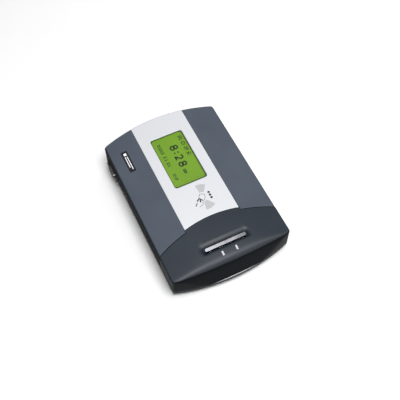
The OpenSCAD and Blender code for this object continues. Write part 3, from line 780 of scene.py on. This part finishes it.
def arc(cx, cy, r, a0, a1, steps=14):
    return [(cx + r * math.cos(math.radians(a0 + (a1 - a0) * i / steps)),
             cy + r * math.sin(math.radians(a0 + (a1 - a0) * i / steps))) for i in range(steps + 1)]


def line(a, b, steps=6):
    return [(a[0] + (b[0] - a[0]) * i / steps, a[1] + (b[1] - a[1]) * i / steps)
            for i in range(steps + 1)]


# Card-tap symbol: a hand with a card, and radio waves on each side
ICON = (DISPLAY_X + 60, 2.2)
FAN_LEFT = (146, 184, 7.6, 18.0)
FAN_RIGHT = (-11, 38, 4.6, 15.4)


def fan(a0, a1, r0, r1, rings):
    """Bands of a wedge, with a thin bright gap between them."""
    pitch = (r1 - r0) / rings
    return [ribbon(arc(*ICON, r0 + pitch * (i + 0.5), a0, a1), pitch * 0.84, on_panel, INK_THIN)
            for i in range(rings)]


gather("print_waves", fan(*FAN_LEFT, 9) + fan(*FAN_RIGHT, 9), "silver_panel", "ink_line")


def icon(*points):
    """Points given about the symbol's middle."""
    return [(ICON[0] + x, ICON[1] + y) for x, y in points]


def bent(points, steps=5):
    out = []
    for a, b in zip(points, points[1:]):
        out += line(a, b, steps)[:-1]
    return out + [points[-1]]


card = bent(icon((-2.0, -3.8), (-5.6, -1.7), (-5.9, -0.9), (-3.9, 3.3), (-3.1, 3.7), (0.6, 2.6),
                 (3.2, 0.2), (3.0, -1.4)))
palm = bent(icon((3.6, -1.8), (5.2, -2.2), (6.9, -2.9), (8.1, -4.4), (8.5, -6.2), (8.9, -8.2)))
gather("print_card", [ribbon(card, 0.85, on_panel), ribbon(palm, 0.8, on_panel)],
       "silver_panel", "ink_grey")
fingers = [
    bent(icon((1.4, -7.8), (-0.6, -4.6), (-1.0, -3.4))),
    bent(icon((-1.0, -3.8), (1.2, -2.6), (2.6, -1.4))),
    bent(icon((1.0, -3.6), (3.0, -4.4), (4.0, -4.6))),
    bent(icon((3.2, -8.4), (5.2, -10.2), (6.6, -11.7))),
]
gather("print_hand", [ribbon(f, w, on_panel) for f, w in zip(fingers, (1.5, 1.3, 1.5, 1.0))],
       "silver_panel", "ink_black")


def disc(cx, cy, r, surface, n=20):
    ring = [(cx + r * math.cos(a), cy + r * math.sin(a))
            for a in (2 * math.pi * i / n for i in range(n))]
    verts = [(x, y, surface(x, y) + dz) for dz in (INK_TOP, INK_SUNK) for x, y in ring]
    faces = [tuple(range(n)), tuple(range(2 * n - 1, n - 1, -1))]
    faces += [(i, i + n, (i + 1) % n + n, (i + 1) % n) for i in range(n)]
    return verts, faces


gather("print_dots", [disc(DISPLAY_X + x, 11.3, 1.45, on_panel) for x in (55.9, 59.5, 63.2)],
       "silver_panel", "ink_black")

# ------------------------------------------------------------------ display contents
DIGIT_W = 5.4
DIGIT_H = 8.4
STROKE = 1.95
DOT_FILL = 0.99


def digit(char, x, y):
    """Rounded figure: curved strokes inside a box with its lower left corner at x, y."""
    cx, r = x + DIGIT_W / 2, DIGIT_H / 4
    if char == "8":
        wide = DIGIT_W / 2
        loops = []
        for cy, k in ((y + r, 1.0), (y + 3 * r, 0.88)):
            loops.append([(cx + wide * k * math.cos(a), cy + r * math.sin(a))
                          for a in (2 * math.pi * i / 28 for i in range(28))])
        return [ribbon(p, STROKE, on_glass, INK_THIN, True) for p in loops]
    bowl = [(cx + DIGIT_W / 2 * 0.92 * math.cos(math.radians(a)),
             y + 3 * r + r * math.sin(math.radians(a))) for a in range(165, -40, -12)]
    stroke = bowl + bent([(x + DIGIT_W * 0.86, y + 2.1 * r), (x + 0.2, y + 0.1)])[1:]
    foot = bent([(x + 0.1, y), (x + DIGIT_W, y)])
    return [ribbon(points, STROKE, on_glass, INK_THIN) for points in (stroke, foot)]


def block_row(x0, y0, cell, glyph):
    """Small figure of dots: rows of a glyph, top row first, with # for a dark dot."""
    dot = cell * DOT_FILL
    out = []
    for r, text in enumerate(glyph):
        for c, mark in enumerate(text):
            if mark == "#":
                x = x0 + c * cell
                y = y0 + (len(glyph) - 1 - r) * cell
                row = [(x, y + cell / 2), (x + dot, y + cell / 2)]
                out.append(ribbon(row, dot, on_glass, INK_THIN))
    return out


def mask_and_shade_ring(l, w, r, far, near, low, high):
    """Dark band round the display's view area, with a width for each side: a printed mask, made wider
    on the near side as painted shade along the window's edge.
    """
    outer = round_rect(DISPLAY_X, 0, l, w, r, GLASS_TOP)
    inner = round_rect(DISPLAY_X + (far - near) / 2, (low - high) / 2, l - far - near,
                       w - low - high, r - 0.6, GLASS_TOP)
    n = len(outer)
    verts = [(x, y, z + dz) for dz in (INK_TOP, INK_SUNK)
             for ring in (outer, inner) for x, y, z in ring]
    faces = []
    for i in range(n):
        j = (i + 1) % n
        faces += [(i, j, j + n, i + n), (i + 2 * n, i + 3 * n, j + 3 * n, j + 2 * n),
                  (i, i + 2 * n, j + 2 * n, j), (i + n, j + n, j + 3 * n, i + 3 * n)]
    return verts, faces


# Painted shade: the mask is widest on the near side, to darken the film along the window's near edge
mask_and_shade = mask_and_shade_ring(WINDOW_L + 3, WINDOW_W + 3, 3.6, far=1.9, near=4.0, low=2.6, high=2.5)
gather("display_mask_and_shade", [mask_and_shade], "display_green", "mask_green")

# The clock reading, then the small figures round it
clock_y = -1.9
clock = []
for char, x in (("8", -19.8), ("2", -5.0), ("8", 4.8)):
    clock += digit(char, DISPLAY_X + x, clock_y)
clock += [disc(DISPLAY_X - 9.4, clock_y + y, 1.05, on_glass) for y in (1.9, 6.0)]
gather("display_clock", clock, "display_green", "segment_green")

GLYPHS = [
    ["#.###.#", ".#...#.", "#.###.#", ".#.#.#.", "##.#.##"],
    [".####.", "#....#", "#.##.#", "#....#", ".####."],
    ["##.###", ".#.#.#", ".#.###", "##.#..", ".#.#.."],
    ["..##.", ".#..#", "###.#", ".#.#.", "##.##"],
]
DATE = [["###", "#.#", "#.#", "#.#", "###"], [".#.", "##.", ".#.", ".#.", "###"]]
small = []
for k, x in enumerate((-30.5, -21.5, -13.2, -5.2)):
    small += block_row(DISPLAY_X + x, 12.4, 0.95, GLYPHS[k])
for k in range(5):
    small += block_row(DISPLAY_X - 28 + k * 2.9, -14.6, 0.74, DATE[k % 2])
for k, x in enumerate((-10.3, -6.0, -0.8, 2.6)):
    small += block_row(DISPLAY_X + x, -14.6, 0.74, DATE[k % 2])
for k, x in enumerate((15.6, 20.8)):
    small += block_row(DISPLAY_X + x, -14.8, 0.72, GLYPHS[k + 1])
small += block_row(DISPLAY_X + 14.8, -1.4, 0.9, ["######.", "#.##.##", "#.##.##", "######."])
gather("display_marks", small, "display_green", "segment_soft")

# ------------------------------------------------------------------ badge
badge_lo, badge_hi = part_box("badge_plate")
BADGE = ((badge_lo.x + badge_hi.x) / 2 / MM, (badge_lo.y + badge_hi.y) / 2 / MM - MID_Y)


def on_badge(x, y):
    return crown(y) + 0.4


def badge_bar(start, end, y, width):
    a, b = ((BADGE[0] + x, BADGE[1] + y) for x in (start, end))
    return ribbon(line(a, b), width, on_badge, INK_THIN)


badge_marks = [badge_bar(-12, -8.6, 0, 3.4), badge_bar(-7, 12, 1.15, 1), badge_bar(-7, 8.5, -1.2, 1)]
gather("badge_bars", badge_marks, "badge_black", "ink_white")

# ------------------------------------------------------------------ carried-over CAD nodes
slot_of = {s["node"]: s["material_slot"] for s in frame["record"]["subparts"]}
for name, node in nodes.items():
    if not node.hide_render:
        node.data.materials.clear()
        node.data.materials.append(material(slot_of[name]))

SOFT_EDGES = {
    "bar_key": 1.0, "led_windows": 0.25, "badge_plate": 0.12, "base_housing": 0.8, "rubber_feet": 0.6,
    "jack_screws": 0.25, "serial_insulator": 0.15, "power_jack": 0.3, "case_screws": 0.25,
    "window_gasket": 0.2, "key_bracket": 0.2, "processor": 0.15, "memory_chips": 0.15,
}
for name, width in SOFT_EDGES.items():
    bevel = nodes[name].modifiers.new("soft_edges", "BEVEL")
    bevel.width = width * MM
    bevel.segments = 4 if name == "bar_key" else 2
    bevel.limit_method = "ANGLE"
    bevel.angle_limit = math.radians(50)
    bevel.harden_normals = False

# ------------------------------------------------------------------ floor, light, camera
FLOOR_SIZE = 6.0
floor_mesh = bpy.data.meshes.new("floor")
half = FLOOR_SIZE / 2
floor_mesh.from_pydata([(-half, -half, 0), (half, -half, 0), (half, half, 0), (-half, half, 0)], [],
                       [(0, 1, 2, 3)])
floor = bpy.data.objects.new("floor", floor_mesh)
bpy.context.scene.collection.objects.link(floor)
paper = Graph("floor_paper")
paper_tone = paper.mix(paper.span(paper.noise(3.0), 0, 1), (0.93, 0.93, 0.93), (0.95, 0.95, 0.95))
paper.link(paper_tone, paper.shader.inputs["Base Color"])
paper.shader.inputs["Roughness"].default_value = 0.9
paper.shader.inputs["Specular IOR Level"].default_value = 0.1
floor.data.materials.append(paper.mat)


def softbox(name, place, aim, size, watts):
    data = bpy.data.lights.new(name, "AREA")
    data.shape = "RECTANGLE"
    data.size, data.size_y = size
    data.energy = watts
    lamp = bpy.data.objects.new(name, data)
    bpy.context.scene.collection.objects.link(lamp)
    lamp.location = place
    lamp.rotation_mode = "QUATERNION"
    lamp.rotation_quaternion = (Vector(aim) - Vector(place)).to_track_quat("-Z", "Y")


softbox("overhead", (0.25, 0.1, 1.35), (0.02, 0, 0), (0.7, 0.7), 16)
softbox("far_side", (-0.9, 0.9, 0.75), (0, 0, 0.02), (0.5, 0.4), 2.2)
softbox("bar_strip", (-0.335, 0.07, 1.0), (BAR_X * MM, 0, 0.04), (0.3, 0.32), 0.36)
softbox("near_low", (0.9, 0.3, 0.45), (0.1, 0, 0.02), (0.5, 0.3), 2.4)

world = bpy.data.worlds.new("studio")
bpy.context.scene.world = world
bpy.context.scene.view_settings.view_transform = "Standard"
world.use_nodes = True
world.node_tree.nodes["Background"].inputs[0].default_value = (1, 1, 1, 1)
world.node_tree.nodes["Background"].inputs[1].default_value = 0.3

AZIMUTH = math.radians(64.06)
ELEVATION = math.radians(59.88)
DISTANCE = 0.7373
TARGET = Vector((19.44, MID_Y - 1.86, TOP)) * MM
back = Vector((math.sin(AZIMUTH) * math.cos(ELEVATION), -math.cos(AZIMUTH) * math.cos(ELEVATION),
               math.sin(ELEVATION)))
camera_data = bpy.data.cameras.new("camera")
camera_data.lens = 59.96
camera_data.sensor_width = 36
camera = bpy.data.objects.new("camera", camera_data)
bpy.context.scene.collection.objects.link(camera)
camera.location = TARGET + back * DISTANCE
camera.rotation_mode = "QUATERNION"
camera.rotation_quaternion = (-back).to_track_quat("-Z", "Y")
bpy.context.scene.camera = camera

bpy.context.view_layer.update()
